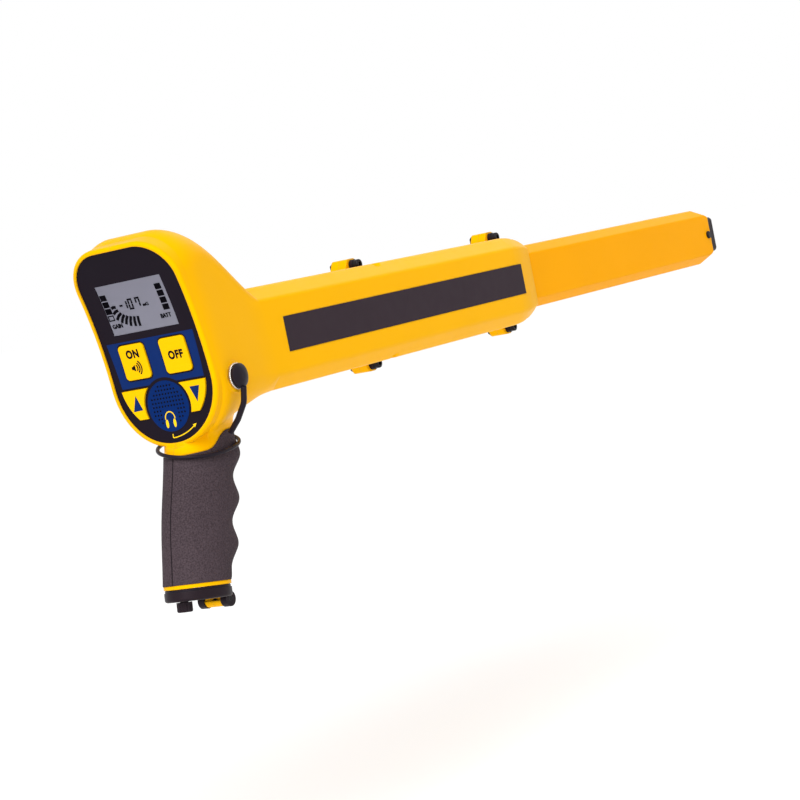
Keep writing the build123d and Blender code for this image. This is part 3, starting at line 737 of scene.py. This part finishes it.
def gasketLip():
    rings = np.stack([handleOval(inset) for inset in lip["insets"]], 1)  # rows along, columns across
    rings = rings[rings[:, 0, 0] < lip["stop"]]
    dip, down = math.radians(lip["dip"]), np.array(lip["depths"])
    x = lip["x"] + rings[..., 0] * math.cos(dip) - down * math.sin(dip)
    z = lip["z"] - rings[..., 0] * math.sin(dip) - down * math.cos(dip)
    spots = np.stack([x, rings[..., 1], z], -1).reshape(-1, 3) * mm
    index = np.arange(x.size).reshape(x.shape)
    over = np.roll(index, -1, 1)
    faces = np.stack([index[:-1], index[1:], over[1:], over[:-1]], -1).reshape(-1, 4).tolist()
    ends = [index[0].tolist(), index[-1][::-1].tolist()]
    mesh = bpy.data.meshes.new("gasketLip")
    mesh.from_pydata(spots.tolist(), [], faces + ends)
    addPiece("gasketLip", mesh, "cap_rubber", "door")


gasketLip()
print("gasket lip made")

# knurled nut of the headphone jack: a closed profile (bore, back, flank, chamfer, front) turned about
# the jack's axis, whose outer radius swings in and out with the ridges
nut = dict(
    x=9.3, z=66.1, back=-31.6, front=-33.2, bore=4.45, outer=6.5,
    ridges=44, depth=0.3, chamfer=0.35, ease=0.1, steps=528,
)


def knurledNut():
    turn = np.linspace(0, 2 * math.pi, nut["steps"], endpoint=False)[:, None]
    inward = nut["depth"] * (0.5 - 0.5 * np.cos(nut["ridges"] * turn))
    back, front, chamfer, ease = (nut[k] for k in ("back", "front", "chamfer", "ease"))
    along = np.array([front, back, back, back - ease, front + chamfer, front, front])[None, :]
    bores = np.array([1, 1, 0, 0, 0, 0, 1])[None, :]  # 1 where the profile is in the bore
    eased = np.array([0, 0, ease, 0, 0, chamfer, 0])[None, :]
    radius = np.where(bores == 1, nut["bore"], nut["outer"] - eased - inward * (eased < chamfer))
    x, z = nut["x"] + radius * np.cos(turn), nut["z"] + radius * np.sin(turn)
    spots = np.stack([x, along + 0 * turn, z], -1).reshape(-1, 3) * mm
    index = np.arange(x.size).reshape(x.shape)
    ahead, over = np.roll(index, -1, 0), np.roll(index, -1, 1)
    faces = np.stack([index, ahead, np.roll(ahead, -1, 1), over], -1).reshape(-1, 4)
    mesh = bpy.data.meshes.new("knurledNut")
    mesh.from_pydata(spots.tolist(), [], faces.tolist())
    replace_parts(addPiece("knurledNut", mesh, "bright_steel", "housing"), "jack_nut")


knurledNut()
print("jack nut made")

# studio: a pale floor well below the object, and a room that is white where the camera, a reflection
# or glass shows it and dimmer as a light
room = dict(light=0.36, shown=1.0, floorDrop=0.13, floorHalf=40.0)
floorPaint = dict(
    colour=(0.98, 0.98, 0.98), edge=(0.98, 0.98, 0.98), change=0.0,
    grainScale=50, grainDepth=0.0, rough=(0.8, 0.9), specular=0.0,
)
lamps = dict(
    sun=dict(towards=(0.62, 0.27, -0.74), spread=50, strength=2.9),
    back=dict(at=(1.5, -0.05, 1.2), towards=(0.2, 0, 0.1), size=1.4, power=6),
    low=dict(at=(-1.15, -0.5, -0.1), towards=(0.02, 0, 0.05), size=0.9, power=4.5),
)


def studioFloor():
    low, half = cadBox[0][2] - room["floorDrop"], room["floorHalf"]
    corners = [(-half, -half, low), (half, -half, low), (half, half, low), (-half, half, low)]
    mesh = bpy.data.meshes.new("studioFloor")
    mesh.from_pydata(corners, [], [(0, 1, 2, 3)])
    mesh.materials.append(material("studioFloorPaint", floorPaint))
    floor = bpy.data.objects.new("studioFloor", mesh)
    bpy.context.collection.objects.link(floor)


def studioWorld():
    world = bpy.data.worlds.new("studioWorld")
    bpy.context.scene.world = world
    world.use_nodes = True
    tree = world.node_tree
    tree.nodes.clear()
    out = tree.nodes.new("ShaderNodeOutputWorld")
    white = ("Color", (1, 1, 1, 1))
    seen = addNode(tree, "ShaderNodeBackground", [white, ("Strength", room["shown"])])
    soft = addNode(tree, "ShaderNodeBackground", [white, ("Strength", room["light"])])
    ray = tree.nodes.new("ShaderNodeLightPath").outputs
    clear = addNode(
        tree,
        "ShaderNodeMath",
        [(0, ray["Is Glossy Ray"]), (1, ray["Is Transmission Ray"])],
        operation="MAXIMUM",
    )
    shown = addNode(
        tree,
        "ShaderNodeMath",
        [(0, ray["Is Camera Ray"]), (1, clear.outputs[0])],
        operation="MAXIMUM",
    )
    pick = addNode(
        tree,
        "ShaderNodeMixShader",
        [(0, shown.outputs[0]), (1, soft.outputs[0]), (2, seen.outputs[0])],
    )
    tree.links.new(pick.outputs[0], out.inputs["Surface"])


def areaLight(name, at, towards, size, power):
    lamp = bpy.data.lights.new(name, "AREA")
    lamp.shape = "DISK"
    lamp.size = size
    lamp.energy = power
    holder = bpy.data.objects.new(name, lamp)
    holder.location = at
    holder.rotation_euler = (Vector(towards) - Vector(at)).to_track_quat("-Z", "Y").to_euler()
    bpy.context.collection.objects.link(holder)


def softSun(towards, spread, strength):
    lamp = bpy.data.lights.new("softSun", "SUN")
    lamp.angle = math.radians(spread)
    lamp.energy = strength
    holder = bpy.data.objects.new("softSun", lamp)
    holder.rotation_euler = Vector(towards).to_track_quat("-Z", "Y").to_euler()
    bpy.context.collection.objects.link(holder)


studioFloor()
studioWorld()
softSun(**lamps["sun"])
areaLight("backLight", **lamps["back"])
areaLight("lowFill", **lamps["low"])

camera = dict(
    azimuth=-57.12, elevation=3.51, roll=11.38, at=(-0.8284, -0.6617, 0.1037),
    lens=99, sensor=36, nearest=0.05,
)


# the view's own axes from azimuth and elevation, then rolled about the line of sight
def photoCamera():
    azimuth, elevation, roll = (math.radians(camera[k]) for k in ("azimuth", "elevation", "roll"))
    flat = math.cos(elevation)
    back = Vector((math.sin(azimuth) * flat, -math.cos(azimuth) * flat, math.sin(elevation)))
    level = (-back).cross(Vector((0, 0, 1))).normalized()
    upward = level.cross(-back)
    right = math.cos(roll) * level - math.sin(roll) * upward
    up = math.sin(roll) * level + math.cos(roll) * upward
    lens = bpy.data.cameras.new("photoCamera")
    lens.lens = camera["lens"]
    lens.sensor_width = camera["sensor"]
    lens.clip_start = camera["nearest"]
    holder = bpy.data.objects.new("photoCamera", lens)
    turn = Matrix((right, up, back)).transposed().to_4x4()
    holder.matrix_world = Matrix.Translation(camera["at"]) @ turn
    bpy.context.collection.objects.link(holder)
    bpy.context.scene.camera = holder


photoCamera()
bpy.context.scene.view_settings.view_transform = "Standard"
print("studio ready")
